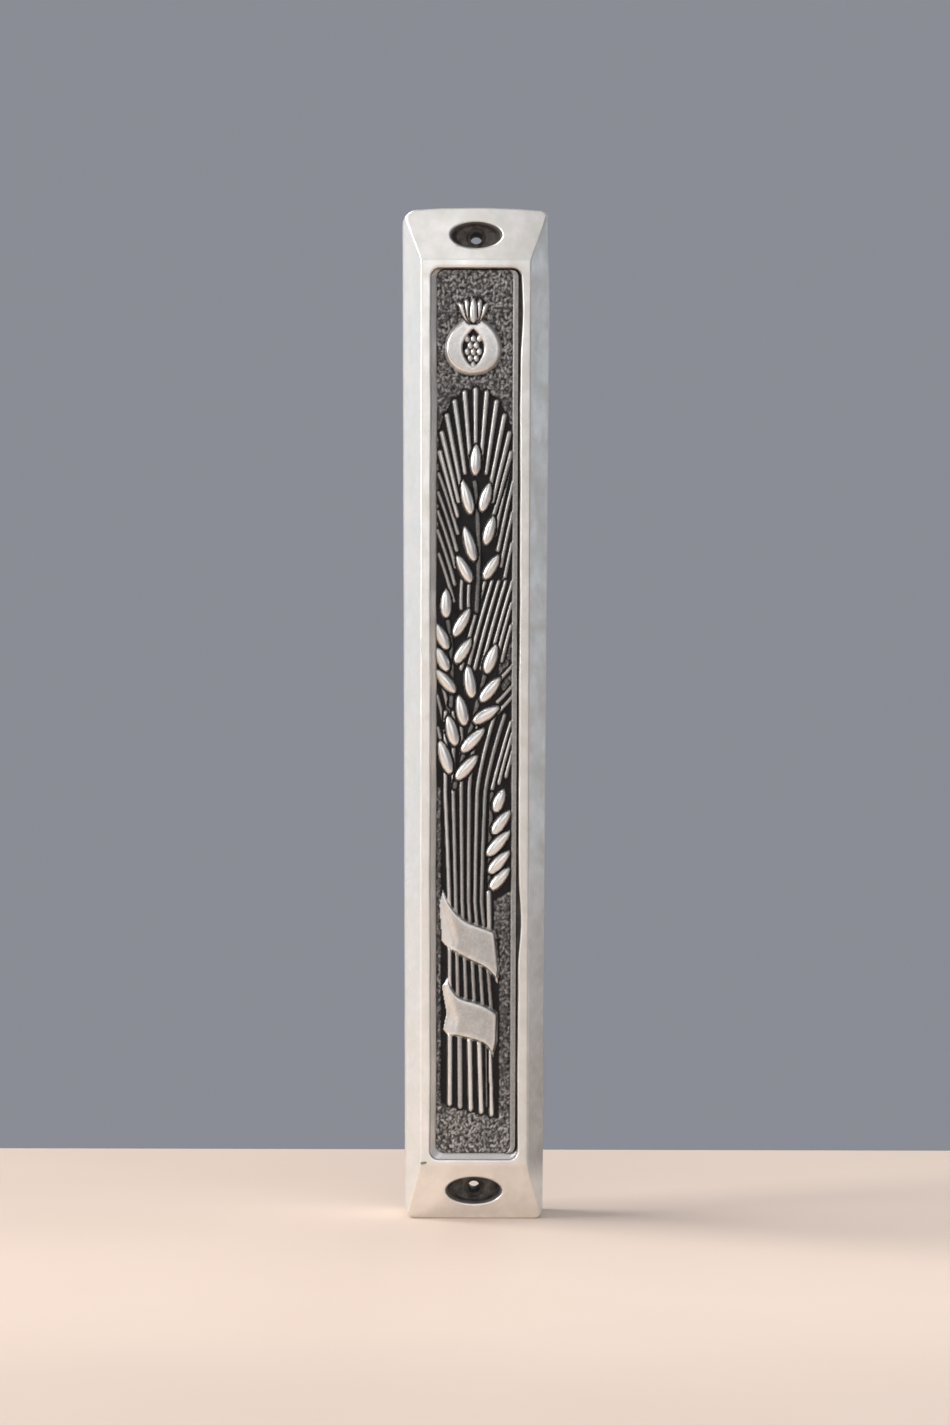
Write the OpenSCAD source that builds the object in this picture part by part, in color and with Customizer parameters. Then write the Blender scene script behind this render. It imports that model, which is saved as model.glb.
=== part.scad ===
// Mezuzah case: a cast metal case with sloped sides and ends, a relief plaque set into its front,
// a rolled parchment in a clear sleeve behind the plaque, and a cover that slides in from the top.
// Frame: +Z runs up the case, -Y is the decorated front and +Y the flat back. The origin is the
// middle of the bottom end, under the centre of the case's bounding box.

/* [Case] */
// Height of the case
case_h = 150; // [149.5:0.5:170]
// Width of the case at its head
case_w = 22; // [22:0.1:25]
// Width of the case at its foot
foot_w = 20.4; // [20.4:0.1:22]
// Depth from the front face to the back
case_d = 15; // [15:0.1:18]
// Width of each side bevel, seen from the front
bevel_w = 2.9; // [2:0.1:3]
// How far back each side bevel falls
bevel_drop = 4; // [2.5:0.25:5]
// Length of each end ramp, seen from the front
ramp_l = 8.2; // [8:0.1:9]
// How far back the top ramp falls
top_ramp_drop = 4; // [2.5:0.25:5]
// How far back the bottom ramp falls
bottom_ramp_drop = 3; // [2.5:0.25:5]
// Radius of the four outer corners
corner_r = 1.8; // [0.5:0.1:2.5]

/* [Plaque recess] */
// Width of the recess in the front face
recess_w = 13.2; // [12:0.1:13.6]
// Depth of the recess
recess_depth = 2.8; // [2.4:0.1:3]
// Radius of the recess corners
recess_r = 1.3; // [0.5:0.1:2]
// Front rim left above the recess
rim_top = 1.2; // [0.8:0.1:3]
// Front rim left below the recess
rim_bottom = 0.9; // [0.8:0.1:3]

/* [Scroll chamber] */
// Width of the chamber behind the plaque
chamber_w = 16; // [12:0.1:16.2]
// Metal left between the plaque recess and the chamber
web_t = 1.2; // [0.8:0.1:1.5]
// Solid end block that each mounting screw passes through
end_block_l = 11; // [10.5:0.5:12]

/* [Screw holes] */
// Distance of each screw hole from its end of the case
screw_inset = 4.3; // [4:0.1:5]
// Radius of the screw bore, for a 1.6 mm screw
bore_r = 0.9; // [0.8:0.05:1.4]
// Radius of the countersink at its mouth
countersink_r = 1.6; // [1.5:0.05:2.1]
// Width of the oval pocket around the screw head
pocket_w = 7.6; // [5:0.1:9]
// Height of the oval pocket
pocket_h = 4.2; // [4.2:0.1:4.6]
// Distance from the back of the case to the pocket's floor
pocket_floor = 9.5; // [7:0.1:10]

/* [Back cover] */
// Thickness of the sliding cover
cover_t = 1.8; // [1.4:0.1:2]
// Width of the cover on its inner side
cover_w = 18.4; // [17.6:0.1:18.8]
// How far each edge of the cover slopes in towards the back
cover_taper = 1.1; // [0.6:0.1:1.4]
// Gap around the cover in its groove
cover_gap = 0.12; // [0.08:0.01:0.2]
// Distance of the cover's lower edge from the bottom of the case
cover_z = 10; // [8.5:0.1:10.2]
// Width of the thumb grip
grip_w = 9; // [6:0.5:11]
// Number of grooves in the thumb grip
grip_grooves = 7; // [4:1:9]

/* [Relief] */
// Thickness of the plaque's ground plate
plate_t = 1.5; // [1.1:0.1:1.6]
// Height of the wheat grains over the ground
grain_relief = 1.1; // [0.5:0.05:1.2]
// Height of the stalks and beards over the ground
stalk_relief = 0.6; // [0.3:0.05:0.9]
// Height of the ribbons over the ground
ribbon_relief = 0.9; // [0.5:0.05:1.1]
// Height of the fruit emblem over the ground
emblem_relief = 1.0; // [0.5:0.05:1.15]
// Length of a wheat grain
grain_l = 4.6; // [3.5:0.1:5]
// Width of a wheat grain
grain_w = 1.5; // [1:0.1:1.7]

/* [Scroll] */
// Height of the rolled parchment
scroll_h = 120; // [100:1:121]
// Thickness of the parchment
parchment_t = 0.28; // [0.2:0.02:0.32]
// Turns in the roll
scroll_turns = 5; // [3:1:6]
// Outer diameter of the clear sleeve
sleeve_d = 8.8; // [8:0.1:8.8]
// Wall of the clear sleeve
sleeve_t = 0.15; // [0.1:0.01:0.2]

/* [Hidden] */
front_y = -case_d / 2;
back_y = case_d / 2;
over = 1;
// Flat front face, between the bevels and the ramps
face_w = case_w - 2 * bevel_w;
recess_z0 = ramp_l + rim_bottom;
recess_z1 = case_h - ramp_l - rim_top;
recess_floor_y = front_y + recess_depth;
// Chamber, from the web to the cover
chamber_y = recess_floor_y + web_t;
chamber_z0 = end_block_l;
chamber_z1 = case_h - end_block_l;
chamber_r = 1.5;
// Screw holes
screw_z = [screw_inset, case_h - screw_inset];
pocket_y = back_y - pocket_floor;
countersink_l = countersink_r - bore_r;
// Cover and its groove, which is open at the top end of the case
cover_back_gap = 0.15;
cover_y = back_y - cover_back_gap - cover_t;
groove_y = cover_y - 0.05;
groove_half_w = cover_w / 2 + cover_gap;
groove_slope = cover_taper / cover_t;
screw_clearance = 0.95;
cover_z1 = screw_z[1] - bore_r - screw_clearance;
grip_pitch = 1.2;
grip_groove_w = 0.6;
grip_groove_t = 0.5;
grip_z = cover_z1 - 5;
// Plaque, a little smaller than its recess
plaque_gap = 0.1;
plaque_w = recess_w - 2 * plaque_gap;
plaque_z0 = recess_z0 + plaque_gap;
plaque_z1 = recess_z1 - plaque_gap;
ground_y = recess_floor_y - plate_t;
sink = 0.3;
picture_half_w = plaque_w / 2 - 0.4;
// Scroll and sleeve, standing on the chamber's floor
scroll_y = (chamber_y + groove_y) / 2;
scroll_z = chamber_z0 + 0.3;
sleeve_over = 0.5;
roll_pitch = parchment_t + 0.06;
roll_r1 = sleeve_d / 2 - sleeve_t - 0.1 - parchment_t;
roll_r0 = roll_r1 - scroll_turns * roll_pitch;
roll_steps = 24;

// A plate with rounded corners, w wide and from z0 to z1 high, in the XZ plane
module rounded_outline(w, z0, z1, r) {
    translate([-w / 2, z0 + r]) square([w, z1 - z0 - 2 * r]);
    translate([-w / 2 + r, z0]) square([w - 2 * r, z1 - z0]);
    for (x = [-w / 2 + r, w / 2 - r], z = [z0 + r, z1 - r])
        translate([x, z]) circle(r, $fn = 32);
}

// The case's outline: rounded corners, and sides that draw in towards the foot
module tapered_outline() {
    foot_x = foot_w / 2 - corner_r;
    head_x = case_w / 2 - corner_r;
    hull() for (side = [-1, 1]) {
        translate([side * foot_x, corner_r]) circle(corner_r, $fn = 32);
        translate([side * head_x, case_h - corner_r]) circle(corner_r, $fn = 32);
    }
}

// Extrudes an outline drawn in XZ from y0 back to y1
module plate(y0, y1) {
    translate([0, y1, 0]) rotate([90, 0, 0]) linear_extrude(y1 - y0) children();
}

// Outer shape: a bevelled section, ramped ends and rounded corners, cut into one another
module case_blank() {
    section = [
        [-case_w / 2, back_y],
        [-case_w / 2, front_y + bevel_drop],
        [-face_w / 2, front_y],
        [face_w / 2, front_y],
        [case_w / 2, front_y + bevel_drop],
        [case_w / 2, back_y]
    ];
    side = [
        [back_y, 0],
        [front_y + bottom_ramp_drop, 0],
        [front_y, ramp_l],
        [front_y, case_h - ramp_l],
        [front_y + top_ramp_drop, case_h],
        [back_y, case_h]
    ];
    intersection() {
        linear_extrude(case_h) polygon(section);
        rotate([90, 0, 90]) translate([0, 0, -case_w / 2]) linear_extrude(case_w) polygon(side);
        plate(front_y, back_y) tapered_outline();
    }
}

// Oval pocket, countersink and bore of one mounting screw, along Y
module screw_hole() {
    oval = [for (a = [0:10:350]) [pocket_w / 2 * cos(a), pocket_h / 2 * sin(a)]];
    plate(front_y - over, pocket_y) polygon(oval);
    translate([0, pocket_y, 0]) rotate([-90, 0, 0])
        cylinder(h = countersink_l, r1 = countersink_r, r2 = bore_r, $fn = 48);
    translate([0, pocket_y, 0]) rotate([-90, 0, 0])
        cylinder(h = back_y - pocket_y + over, r = bore_r, $fn = 48);
}

// Dovetail groove for the cover: wide inside, narrow at the back, open at the top
module cover_groove() {
    depth = back_y - groove_y;
    mouth_half_w = groove_half_w - (depth + over) * groove_slope;
    translate([0, 0, cover_z - 0.05]) linear_extrude(case_h) polygon([
        [-groove_half_w, groove_y],
        [groove_half_w, groove_y],
        [mouth_half_w, back_y + over],
        [-mouth_half_w, back_y + over]
    ]);
}

module case_body() {
    color("silver") difference() {
        case_blank();
        plate(front_y - over, recess_floor_y) rounded_outline(recess_w, recess_z0, recess_z1, recess_r);
        plate(chamber_y, back_y + over) rounded_outline(chamber_w, chamber_z0, chamber_z1, chamber_r);
        for (z = screw_z) translate([0, 0, z]) screw_hole();
        cover_groove();
    }
}

// One wheat grain: a pointed oval standing on its lower tip
module grain() {
    bow_r = (grain_l * grain_l + grain_w * grain_w) / (4 * grain_w);
    translate([0, grain_l / 2]) intersection() {
        translate([bow_r - grain_w / 2, 0]) circle(bow_r, $fn = 64);
        translate([grain_w / 2 - bow_r, 0]) circle(bow_r, $fn = 64);
    }
}

// Rows of grains on both sides of an ear, under the one at its tip
module ear(pairs, pitch, splay) {
    grain();
    for (i = [1:pairs], side = [-1, 1])
        translate([side * 0.35, -i * pitch]) rotate(-side * splay) grain();
}

// A straight bar between two points
module bar(a, b, w) {
    run = b - a;
    translate(a) rotate(atan2(run[1], run[0])) translate([0, -w / 2]) square([norm(run), w]);
}

// Beards fanning up from an ear, side by side from one angle to another
module beards(count, from_angle, to_angle, length, start) {
    for (i = [0:count - 1])
        rotate(from_angle + (to_angle - from_angle) * i / (count - 1))
            translate([-0.2, start]) square([0.4, length]);
}

// Pomegranate: a round fruit with a crown of five short points
module fruit() {
    body_r = 4.3;
    point_w = 1.3;
    point_l = 2.4;
    circle(body_r, $fn = 64);
    for (a = [-34:17:34])
        rotate(a) translate([0, body_r - 0.6]) {
            translate([-point_w / 2, 0]) square([point_w, point_l / 2]);
            translate([0, point_l / 2]) polygon([[-point_w / 2, 0], [point_w / 2, 0], [0, point_l / 2]]);
        }
}

// A relief feature, kept inside the picture's side edges
module raised(height) {
    intersection() {
        plate(ground_y - height, ground_y + sink) children();
        plate(front_y, ground_y + sink)
            translate([-picture_half_w, plaque_z0]) square([2 * picture_half_w, plaque_z1 - plaque_z0]);
    }
}

module relief_plaque() {
    color("darkgray") union() {
        plate(ground_y, recess_floor_y)
            rounded_outline(plaque_w, plaque_z0, plaque_z1, recess_r - plaque_gap);
        raised(emblem_relief) translate([-0.3, 129.2]) fruit();
        // Upright ear in the middle, two leaning ears below it and a small one at the lower right
        raised(grain_relief) translate([0, 109.6]) ear(3, 5.1, 20);
        raised(grain_relief) translate([-4.2, 89]) rotate(2) ear(3, 4.2, 32);
        raised(grain_relief) translate([2.0, 81]) rotate(-22) ear(4, 4.3, 34);
        raised(grain_relief) translate([3.6, 59.5]) ear(3, 3.4, 34);
        raised(stalk_relief) translate([0, 96]) beards(9, -25, 25, 11, 11);
        raised(stalk_relief) translate([-1, 78]) beards(10, -17, 17, 16, 12);
        // Stalks: a sheaf drawn together at the ribbons, spreading a little below them
        for (i = [-3:3]) raised(stalk_relief) bar([i * 1.35, 66], [i * 1.05, 46], 0.8);
        for (i = [-2:2]) raised(stalk_relief) bar([i * 1.5, 29], [i * 1.65, 16], 0.9);
        // Two ribbons tied round the sheaf, falling to the right
        raised(ribbon_relief) polygon([
            [-5.1, 48.1], [-0.7, 44.1], [3.2, 42.6], [3.8, 37.7], [3.5, 35.2], [1.1, 37.1],
            [-2.4, 39.1], [-5, 41.1]
        ]);
        raised(ribbon_relief) polygon([
            [-4.5, 35.6], [-1.3, 32.8], [2.3, 32.1], [3.5, 31], [3.5, 28.1], [2.9, 24.2],
            [1.1, 26.1], [-1.9, 27], [-4.7, 27.6]
        ]);
    }
}

// Sliding cover with a dovetail edge and a grooved thumb grip near its top
module back_cover() {
    half_w = cover_w / 2;
    color("dimgray") difference() {
        translate([0, 0, cover_z]) linear_extrude(cover_z1 - cover_z) polygon([
            [-half_w, cover_y],
            [half_w, cover_y],
            [half_w - cover_taper, cover_y + cover_t],
            [cover_taper - half_w, cover_y + cover_t]
        ]);
        for (i = [0:grip_grooves - 1])
            translate([-grip_w / 2, cover_y + cover_t - grip_groove_t, grip_z - i * grip_pitch])
                cube([grip_w, grip_groove_t + over, grip_groove_w]);
    }
}

// Sheet rolled into a spiral: out along its inner face, and back along its outer one
module parchment_scroll() {
    turn = [for (i = [0:scroll_turns * roll_steps]) i / roll_steps];
    inner = [for (t = turn) (roll_r0 + t * roll_pitch) * [cos(360 * t), sin(360 * t)]];
    outer = [for (t = turn) (roll_r0 + t * roll_pitch + parchment_t) * [cos(360 * t), sin(360 * t)]];
    last = len(turn) - 1;
    color("wheat") translate([0, scroll_y, scroll_z + sleeve_over]) linear_extrude(scroll_h)
        polygon(concat(inner, [for (i = [last:-1:0]) outer[i]]));
}

module scroll_sleeve() {
    color("lightcyan", 0.4) translate([0, scroll_y, scroll_z])
        difference() {
            cylinder(h = scroll_h + 2 * sleeve_over, d = sleeve_d, $fn = 64);
            translate([0, 0, -over])
                cylinder(h = scroll_h + 2 * sleeve_over + 2 * over, d = sleeve_d - 2 * sleeve_t, $fn = 64);
        }
}

case_body();
relief_plaque();
back_cover();
parchment_scroll();
scroll_sleeve();
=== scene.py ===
"""The looks of the mezuzah case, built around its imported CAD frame. Sizes are in millimetres until
a mesh is made: +Z runs up the case, -Y is its decorated front and +Y its flat back."""
import math

import bmesh
import bpy
import numpy as np
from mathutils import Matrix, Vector


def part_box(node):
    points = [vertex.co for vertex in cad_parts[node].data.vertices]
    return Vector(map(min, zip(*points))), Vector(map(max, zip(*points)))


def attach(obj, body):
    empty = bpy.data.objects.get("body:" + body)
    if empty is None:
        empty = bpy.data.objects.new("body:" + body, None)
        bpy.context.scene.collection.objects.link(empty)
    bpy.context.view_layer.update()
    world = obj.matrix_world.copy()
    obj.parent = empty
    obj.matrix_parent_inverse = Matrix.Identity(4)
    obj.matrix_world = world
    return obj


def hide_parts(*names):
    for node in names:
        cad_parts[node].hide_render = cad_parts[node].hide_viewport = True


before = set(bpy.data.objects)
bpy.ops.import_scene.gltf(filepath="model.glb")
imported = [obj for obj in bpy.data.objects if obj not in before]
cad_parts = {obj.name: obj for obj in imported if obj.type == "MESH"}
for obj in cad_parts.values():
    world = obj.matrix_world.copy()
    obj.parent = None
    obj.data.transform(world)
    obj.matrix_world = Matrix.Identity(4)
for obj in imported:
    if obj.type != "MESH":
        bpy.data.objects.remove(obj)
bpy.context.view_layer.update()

MM = 0.001


def node_box(node):
    """Lowest and highest corner of a CAD node, in millimetres."""
    low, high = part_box(node)
    return np.array(low) / MM, np.array(high) / MM


# ---------------------------------------------------------------- driving sizes

CASE_LOW, CASE_HIGH = node_box("case_body")
PLAQUE_LOW, PLAQUE_HIGH = node_box("relief_plaque")
COVER_LOW, COVER_HIGH = node_box("back_cover")
SCROLL_LOW, SCROLL_HIGH = node_box("parchment_scroll")
SLEEVE_LOW, SLEEVE_HIGH = node_box("scroll_sleeve")

FRONT_Y, BACK_Y = CASE_LOW[1], CASE_HIGH[1]
CASE_H, HALF_W = CASE_HIGH[2], CASE_HIGH[0]

# The case's bevels and ramps. Its sides draw in towards the foot, and its face does so a little.
BEVEL_W = 2.9
BEVEL_DROP = 4.0
RAMP_L = 8.2
TOP_DROP = 4.0
BOTTOM_DROP = 3.0
FACE_HALF_W = HALF_W - BEVEL_W
FOOT_SHARE = 0.927
FACE_FOOT_SHARE = 0.965

# The recess that holds the plaque, with a sloped band along its left and lower sides
RECESS_HALF_W = PLAQUE_HIGH[0] + 0.1
RECESS_Z0 = PLAQUE_LOW[2] - 0.1
RECESS_Z1 = PLAQUE_HIGH[2] + 0.1
RECESS_R = 1.3
RECESS_FLOOR_Y = PLAQUE_HIGH[1]
BAND_W = 0.85

# The chamber and the cover's groove
CHAMBER_HALF_W = 8.0
CHAMBER_Z0 = 11.0
CHAMBER_Z1 = CASE_H - 11.0
CHAMBER_Y = RECESS_FLOOR_Y + 1.2
GROOVE_Y = COVER_LOW[1] - 0.05
GROOVE_HALF_W = COVER_HIGH[0] + 0.12
COVER_TAPER = 1.1
COVER_T = COVER_HIGH[1] - COVER_LOW[1]

# The screw holes: height up the case, and half the width of the oval pocket
SCREW_HOLES = ((4.3, 4.1), (CASE_H - 4.3, 3.8))
POCKET_HALF_H = 2.0
POCKET_FLOOR_Y = BACK_Y - 9.5
COUNTERSINK_R, BORE_R = 1.6, 0.9

# A small nick in the face: across and up, and its length
NICK_PLACE = (-7.5, 8.5)
NICK_LENGTH = 1.3

# Depth of the axis that the scroll and its sleeve share
AXIS_Y = (SLEEVE_LOW[1] + SLEEVE_HIGH[1]) / 2

# The plaque as it shows in its recess, its edges tucked under the sloped band
TUCK = 0.22
PLAQUE_X0 = PLAQUE_LOW[0] + BAND_W - TUCK
PLAQUE_X1 = PLAQUE_HIGH[0] - 0.12
PLAQUE_Z0 = PLAQUE_LOW[2] + BAND_W - TUCK
PLAQUE_Z1 = PLAQUE_HIGH[2]
GROUND_Y = RECESS_FLOOR_Y - 1.5


# ---------------------------------------------------------------- mesh helpers

def shade(mesh, sharp_angle):
    """Smooth shading, with the edges over an angle in degrees kept sharp."""
    mesh.shade_smooth()
    mesh.set_sharp_from_angle(angle=math.radians(sharp_angle))


def add_mesh(name, verts, faces, sharp_angle=180):
    """A mesh object from millimetre vertices, shaded smooth but for edges over sharp_angle."""
    mesh = bpy.data.meshes.new(name)
    mesh.from_pydata((np.asarray(verts, float) * MM).tolist(), [], [list(f) for f in faces])
    mesh.validate()
    build = bmesh.new()
    build.from_mesh(mesh)
    bmesh.ops.recalc_face_normals(build, faces=build.faces)
    build.to_mesh(mesh)
    build.free()
    shade(mesh, sharp_angle)
    obj = bpy.data.objects.new(name, mesh)
    bpy.context.scene.collection.objects.link(obj)
    return obj


def loft(rings, capped=True):
    """Vertices and faces of a tube through equal rings of (x, y, z) points, its ends closed if
    capped."""
    count = len(rings[0])
    verts = np.concatenate(rings)
    faces = []
    for k in range(len(rings) - 1):
        for i in range(count):
            j = (i + 1) % count
            a, b = k * count, (k + 1) * count
            faces.append((a + i, a + j, b + j, b + i))
    if capped:
        last = (len(rings) - 1) * count
        faces.append(tuple(range(count - 1, -1, -1)))
        faces.append(tuple(range(last, last + count)))
    return verts, faces


def smooth_step(low, high, value):
    """0 at low, 1 at high and a smooth rise between them, whichever of the two is larger."""
    t = np.clip((value - low) / (high - low), 0, 1)
    return t * t * (3 - 2 * t)


def hump(value, centre, half_width):
    """1 at the centre, falling smoothly to 0 half_width away."""
    return 1 - smooth_step(0, half_width, np.abs(value - centre))


def cut(target, cutters, sharp_angle):
    """Cuts the cutters out of the target, removes them and shades what is left."""
    for cutter in cutters:
        modifier = target.modifiers.new("cut", "BOOLEAN")
        modifier.operation = "DIFFERENCE"
        modifier.solver = "EXACT"
        modifier.object = cutter
    evaluated = target.evaluated_get(bpy.context.evaluated_depsgraph_get())
    mesh = bpy.data.meshes.new_from_object(evaluated)
    mesh.materials.clear()
    shade(mesh, sharp_angle)
    target.modifiers.clear()
    target.data = mesh
    for cutter in cutters:
        bpy.data.objects.remove(cutter)


def set_attribute(obj, name, values):
    """Stores one number per vertex for the materials to read."""
    attribute = obj.data.attributes.new(name, "FLOAT", "POINT")
    attribute.data.foreach_set("value", np.asarray(values, np.float32))


def vertices_of(obj):
    """The vertices of an object, in millimetres."""
    flat = np.zeros(len(obj.data.vertices) * 3, np.float32)
    obj.data.vertices.foreach_get("co", flat)
    return flat.reshape(-1, 3).astype(float) / MM


# ---------------------------------------------------------------- material helpers

class Graph:
    """A material's node tree, with short calls for the nodes used here."""

    def __init__(self, name):
        self.material = bpy.data.materials.new(name)
        self.material.use_nodes = True
        self.nodes = self.material.node_tree.nodes
        self.links = self.material.node_tree.links
        self.shader = self.nodes["Principled BSDF"]
        self.place = self.nodes.new("ShaderNodeTexCoord").outputs["Object"]

    def link(self, source, target):
        self.links.new(source, target)

    def socket(self, node, key, value):
        """Sets an input to a number or colour, or links it to an output."""
        if isinstance(value, bpy.types.NodeSocket):
            self.link(value, node.inputs[key])
        else:
            node.inputs[key].default_value = value

    def stretched(self, scale):
        """Coordinates scaled by an amount of their own along each axis."""
        node = self.nodes.new("ShaderNodeMapping")
        self.link(self.place, node.inputs["Vector"])
        node.inputs["Scale"].default_value = scale
        return node.outputs["Vector"]

    def noise(self, scale, detail=3.0, roughness=0.55, place=None, distortion=0.0):
        node = self.nodes.new("ShaderNodeTexNoise")
        self.link(place or self.place, node.inputs["Vector"])
        node.inputs["Scale"].default_value = scale
        node.inputs["Detail"].default_value = detail
        node.inputs["Roughness"].default_value = roughness
        node.inputs["Distortion"].default_value = distortion
        return node.outputs["Fac"]

    def cells(self, scale):
        """Distance to the nearest of a scatter of points."""
        node = self.nodes.new("ShaderNodeTexVoronoi")
        self.link(self.place, node.inputs["Vector"])
        node.inputs["Scale"].default_value = scale
        return node.outputs["Distance"]

    def attribute(self, name):
        node = self.nodes.new("ShaderNodeAttribute")
        node.attribute_name = name
        return node.outputs["Fac"]

    def levels(self, value, low, high, out_low=0.0, out_high=1.0):
        """Maps low..high of a value to out_low..out_high, clamped."""
        node = self.nodes.new("ShaderNodeMapRange")
        self.socket(node, "Value", value)
        limits = {"From Min": low, "From Max": high, "To Min": out_low, "To Max": out_high}
        for key, number in limits.items():
            node.inputs[key].default_value = number
        return node.outputs["Result"]

    def math(self, operation, a, b):
        node = self.nodes.new("ShaderNodeMath")
        node.operation = operation
        self.socket(node, 0, a)
        self.socket(node, 1, b)
        return node.outputs[0]

    def blend(self, fac, a, b):
        """Mixes colour a to colour b by fac."""
        node = self.nodes.new("ShaderNodeMix")
        node.data_type = "RGBA"
        self.socket(node, 0, fac)
        self.socket(node, 6, a)
        self.socket(node, 7, b)
        return node.outputs[2]

    def bump(self, height, distance_mm, strength, under=None):
        """Surface detail up to a depth, added to the detail under it."""
        node = self.nodes.new("ShaderNodeBump")
        self.link(height, node.inputs["Height"])
        node.inputs["Distance"].default_value = distance_mm * MM
        node.inputs["Strength"].default_value = strength
        if under:
            self.link(under, node.inputs["Normal"])
        return node.outputs["Normal"]

    def finish(self, **inputs):
        """Sets the shader's inputs, written with _ for spaces, and returns the material."""
        for key, value in inputs.items():
            self.socket(self.shader, key.replace("_", " "), value)
        return self.material


def colour(r, g, b):
    """An opaque colour."""
    return (r, g, b, 1.0)


def case_metal():
    """Satin cast pewter: warm grey with soft blotches and fine brushing, with painted shade darkening
    its hollows and its right side.
    """
    graph = Graph("satin_pewter")
    blotches = graph.levels(graph.noise(260, 4.0, 0.6, distortion=0.4), 0.35, 0.65)
    green = graph.levels(graph.noise(420, 3.0, 0.6, graph.stretched((1, 1, 0.45))), 0.42, 0.62)
    brushing = graph.noise(1.0, 4.0, 0.7, graph.stretched((9000, 9000, 420)))
    grain = graph.noise(7000, 3.0, 0.6)
    tone = graph.blend(blotches, colour(0.85, 0.825, 0.79), colour(0.96, 0.945, 0.92))
    tone = graph.blend(graph.math("MULTIPLY", green, 0.45), tone, colour(0.80, 0.83, 0.76))
    tone = graph.blend(graph.levels(brushing, 0.3, 0.75, 0.0, 0.10), tone, colour(0.62, 0.62, 0.62))
    # Painted shade, near black-brown in the case's hollows and greyer down its right side, broken into
    # patches
    painted_shade = graph.attribute("painted_shade")
    patches = graph.levels(graph.noise(700, 5.0, 0.65), 0.30, 0.62, 0.78, 1.0)
    tone = graph.blend(graph.math("MULTIPLY", painted_shade, patches), tone, colour(0.052, 0.036, 0.028))
    streaks = graph.levels(brushing, 0.2, 0.8, -0.04, 0.05)
    rough = graph.math("ADD", graph.levels(blotches, 0.0, 1.0, 0.46, 0.34), streaks)
    rough = graph.math("ADD", rough, graph.math("MULTIPLY", painted_shade, 0.25))
    normal = graph.bump(brushing, 0.010, 0.5)
    normal = graph.bump(grain, 0.008, 0.4, normal)
    normal = graph.bump(graph.noise(190, 2.0, 0.5), 0.18, 0.6, normal)
    metal = graph.levels(painted_shade, 0.35, 1.0, 1.0, 0.2)
    return graph.finish(Base_Color=tone, Metallic=metal, Roughness=rough, Normal=normal)


def plaque_metal():
    """Antiqued pewter: black-brown oxide in the hollows, worn bright on what stands proud, with a
    painted highlight on the ribbons' folds and edges.
    """
    graph = Graph("antiqued_pewter")
    polish_and_highlight = graph.attribute("polish_and_highlight")
    speckle = graph.noise(2600, 4.0, 0.65)
    worn = graph.math("ADD", polish_and_highlight, graph.levels(speckle, 0.3, 0.7, -0.07, 0.07))
    stain = graph.levels(graph.noise(500, 3.0), 0.35, 0.65)
    oxide = graph.blend(stain, colour(0.008, 0.007, 0.007), colour(0.016, 0.014, 0.016))
    cloud = graph.levels(graph.noise(600, 3.0), 0.35, 0.65)
    bare = graph.blend(cloud, colour(0.78, 0.765, 0.735), colour(0.88, 0.87, 0.85))
    tone = graph.blend(graph.levels(worn, 0.04, 0.92), oxide, bare)
    rough = graph.levels(worn, 0.1, 0.9, 0.55, 0.33)
    metal = graph.levels(worn, 0.05, 0.40, 0.6, 1.0)
    normal = graph.bump(speckle, 0.02, 0.4)
    return graph.finish(Base_Color=tone, Metallic=metal, Roughness=rough, Normal=normal)


def cover_plastic():
    """Fine matt moulded plastic, lightly scuffed along its length."""
    graph = Graph("matt_plastic")
    pebbled = graph.cells(4200)
    scuff = graph.noise(1.0, 3.0, 0.6, graph.stretched((2600, 2600, 130)))
    worn = graph.levels(scuff, 0.45, 0.75, 0.0, 0.6)
    tone = graph.blend(worn, colour(0.040, 0.040, 0.043), colour(0.085, 0.085, 0.090))
    rubbed = graph.levels(scuff, 0.4, 0.8, 0.0, -0.1)
    rough = graph.math("ADD", graph.levels(pebbled, 0.0, 0.8, 0.46, 0.60), rubbed)
    normal = graph.bump(pebbled, 0.02, 0.5)
    return graph.finish(Base_Color=tone, Roughness=rough, Normal=normal)


def parchment():
    """Scraped hide: cream and tan clouding, follicle specks and darker cut edges."""
    graph = Graph("parchment")
    cloud = graph.levels(graph.noise(160, 4.0, 0.6, distortion=0.6), 0.35, 0.65)
    specks = graph.levels(graph.cells(2400), 0.0, 0.16, 1.0, 0.0)
    tone = graph.blend(cloud, colour(0.94, 0.79, 0.57), colour(0.98, 0.89, 0.71))
    tone = graph.blend(graph.math("MULTIPLY", specks, 0.35), tone, colour(0.45, 0.33, 0.18))
    edge = graph.math("MULTIPLY", graph.attribute("edge"), 0.6)
    tone = graph.blend(edge, tone, colour(0.50, 0.38, 0.22))
    rough = graph.levels(cloud, 0.0, 1.0, 0.62, 0.75)
    normal = graph.bump(graph.noise(1500, 4.0, 0.6), 0.03, 0.6)
    return graph.finish(Base_Color=tone, Roughness=rough, Normal=normal)


def clear_film():
    """Thin clear plastic film with faint wrinkles."""
    graph = Graph("clear_film")
    wrinkles = graph.noise(1.0, 3.0, 0.5, graph.stretched((900, 900, 160)))
    clearer = graph.levels(wrinkles, 0.3, 0.7)
    tone = graph.blend(clearer, colour(0.97, 0.97, 0.965), colour(0.99, 0.99, 0.985))
    rough = graph.levels(wrinkles, 0.3, 0.7, 0.05, 0.16)
    graph.shader.inputs["Transmission Weight"].default_value = 1.0
    graph.shader.inputs["IOR"].default_value = 1.3
    return graph.finish(Base_Color=tone, Roughness=rough, Normal=graph.bump(wrinkles, 0.05, 0.4))


# ---------------------------------------------------------------- case

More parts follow.
